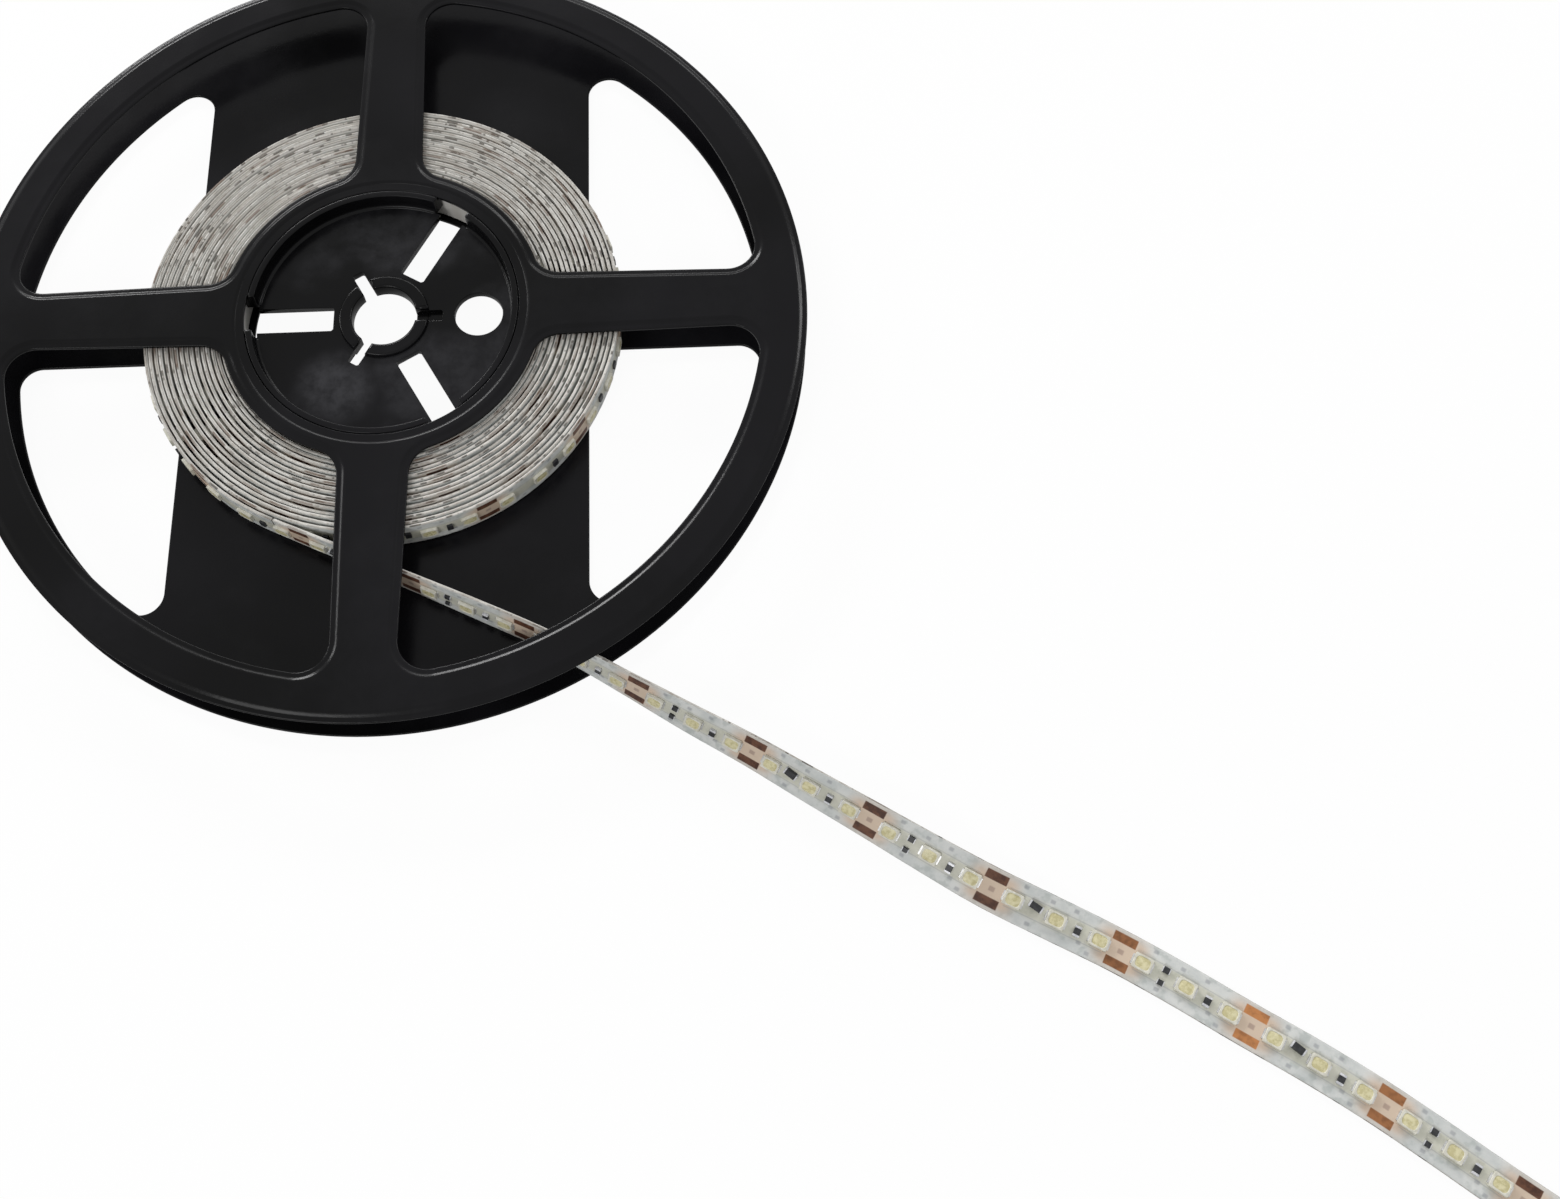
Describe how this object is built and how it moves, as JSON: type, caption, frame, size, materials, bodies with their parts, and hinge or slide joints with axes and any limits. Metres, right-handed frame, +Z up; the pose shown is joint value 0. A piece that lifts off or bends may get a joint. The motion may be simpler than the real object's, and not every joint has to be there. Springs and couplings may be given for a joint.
{
  "type": "led strip light reel",
  "caption": "Black spoked plastic reel with LED strip wound on its hub; a length of the strip leaves the winding, twists over the rim and lies flat.",
  "frame": {"origin": "on the reel's axis, at the outer face of the rear flange that the reel lies on", "axes": "+Z up along the reel's axis towards the front flange, +X along one spoke, towards the side where the strip's tail lies, -Y towards the side where the tail leaves the winding"},
  "size_m": [0.3123, 0.2809, 0.0112],
  "materials": {
    "reel_plastic": "moulded gloss",
    "strip_board": "white solder mask on a flexible board",
    "led_package": "white package filled with pale yellow phosphor",
    "chip_body": "satin"
  },
  "bodies": {
    "root": {"driver_01": "chip_body", "driver_03": "chip_body", "driver_05": "chip_body", "driver_07": "chip_body", "driver_09": "chip_body", "driver_11": "chip_body", "front_flange": "reel_plastic", "hub_core": "reel_plastic", "led_01": "led_package", "led_02": "led_package", "led_03": "led_package", "led_04": "led_package", "led_05": "led_package", "led_06": "led_package", "led_07": "led_package", "led_08": "led_package", "led_09": "led_package", "led_10": "led_package", "led_11": "led_package", "led_12": "led_package", "led_13": "led_package", "led_14": "led_package", "led_15": "led_package", "led_16": "led_package", "led_17": "led_package", "led_18": "led_package", "led_19": "led_package", "led_20": "led_package", "led_21": "led_package", "led_22": "led_package", "led_23": "led_package", "led_24": "led_package", "led_25": "led_package", "led_26": "led_package", "led_27": "led_package", "led_28": "led_package", "led_29": "led_package", "led_30": "led_package", "led_31": "led_package", "led_32": "led_package", "led_33": "led_package", "rear_flange": "reel_plastic", "resistor_01": "chip_body", "resistor_02": "chip_body", "resistor_03": "chip_body", "resistor_04": "chip_body", "resistor_05": "chip_body", "resistor_06": "chip_body", "resistor_07": "chip_body", "resistor_08": "chip_body", "resistor_09": "chip_body", "resistor_10": "chip_body", "resistor_11": "chip_body", "strip_tail": "strip_board", "strip_winding": "strip_board"}
  },
  "joints": []
}
